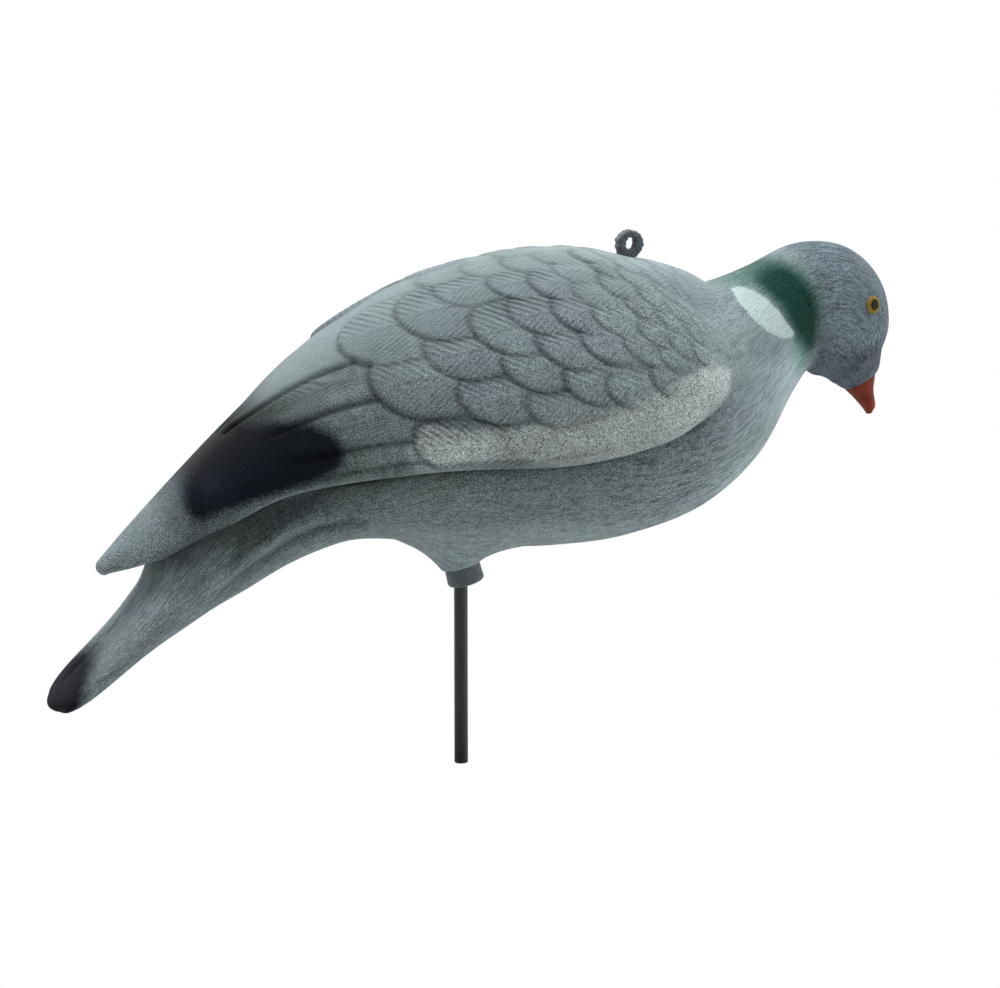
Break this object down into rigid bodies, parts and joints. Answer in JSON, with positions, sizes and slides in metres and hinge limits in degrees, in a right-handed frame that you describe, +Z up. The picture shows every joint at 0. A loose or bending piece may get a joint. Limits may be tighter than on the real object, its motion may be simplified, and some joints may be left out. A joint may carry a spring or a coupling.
{
  "type": "pigeon decoy",
  "caption": "Flocked wood pigeon decoy in a feeding pose, with folded scalloped wings and a long tail, held up on a thin ground stake in a tilted collar, with a small hanging ring on its back.",
  "frame": {"origin": "centre of the flat lower end of the ground stake, where the stake is cut off at the ground", "axes": "+Z up along the stake, +X towards the bird's head, +Y towards its left side, the XZ plane is its plane of symmetry"},
  "size_m": [0.3866, 0.1244, 0.2326],
  "materials": {
    "flocked_shell": "short grey flock over a moulded shell, with painted head, neck, wing and tail marks",
    "collar_plastic": "flocked plastic, darker than the body",
    "stake_rod": "thin dark satin coat",
    "ring_plastic": "dark plastic with a little flock on it"
  },
  "bodies": {
    "root": {"pigeon_body": "flocked_shell", "stake_collar": "collar_plastic", "stake": "stake_rod", "hanging_ring": "ring_plastic"}
  },
  "joints": []
}
